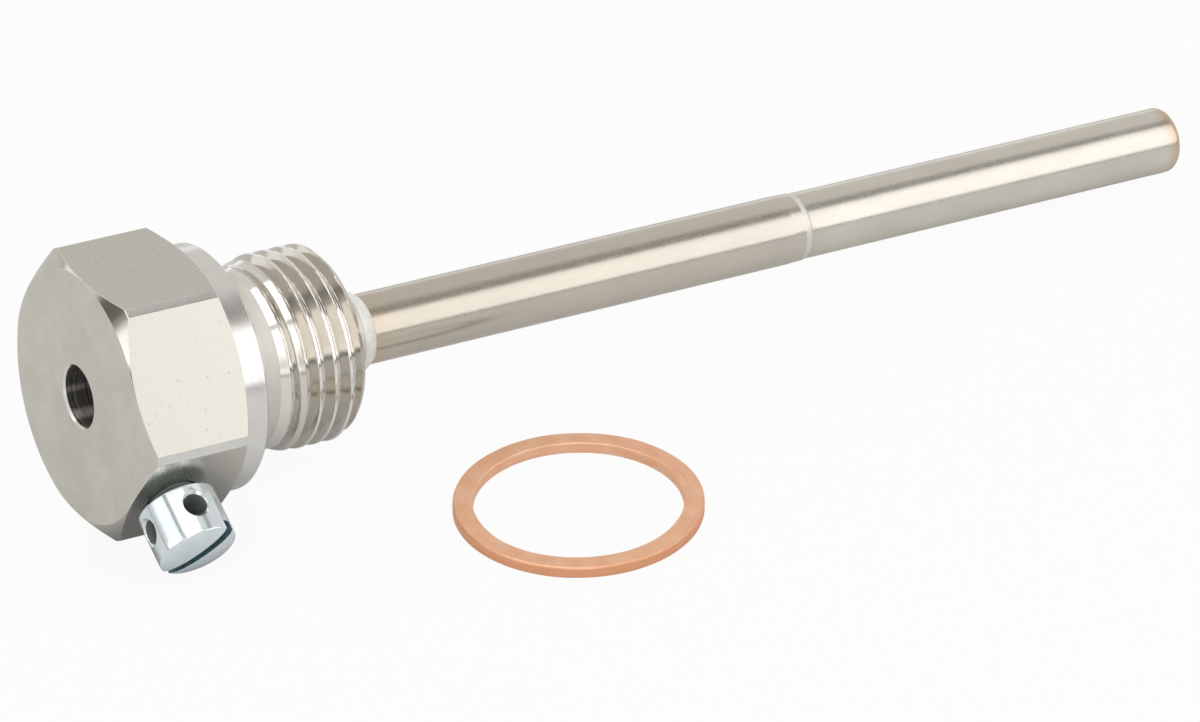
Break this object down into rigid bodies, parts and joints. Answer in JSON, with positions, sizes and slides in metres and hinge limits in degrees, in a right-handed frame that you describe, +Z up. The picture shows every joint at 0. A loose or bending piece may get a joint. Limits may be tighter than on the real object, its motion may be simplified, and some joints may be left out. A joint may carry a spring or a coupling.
{
  "type": "thermowell",
  "caption": "Thermowell: hexagon head with a probe bore and clamping screw, parallel pipe thread, welded two-part stem with a closed tip, and a sealing ring lying beside it.",
  "frame": {"origin": "centre of the sealing face behind the head, on the axis of the bore", "axes": "+Z up as it lies on its head and the end of its stem, +X along the stem towards its tip as seen from above; the bore's axis dips 4.64 degrees below +X"},
  "size_m": [0.136, 0.0542, 0.0279],
  "materials": {
    "turned_steel": "turned stainless steel, satin, with brighter polished bands",
    "tube_steel": "drawn stainless tube, fine lengthwise satin, straw tint by the welds",
    "weld_metal": "pale matte weld metal",
    "zinc_plate": "bright bluish zinc plate on turned steel",
    "copper": "soft annealed copper with fine scuffs"
  },
  "bodies": {
    "pocket": {"pocket_body": "turned_steel", "stem_tube": "tube_steel", "tip_tube": "tube_steel", "end_plug": "tube_steel", "weld_bead": "weld_metal", "sealing_ring": "copper"},
    "clamp_screw": {"clamp_screw": "zinc_plate"}
  },
  "joints": [
    {"name": "clamp_screw_turn", "type": "hinge", "parent": "pocket", "child": "clamp_screw", "pos_m": [-0.01042, 0, 0.00085], "axis": [0.0404, 0.866, 0.4984], "range_deg": [-450, 540]}
  ]
}
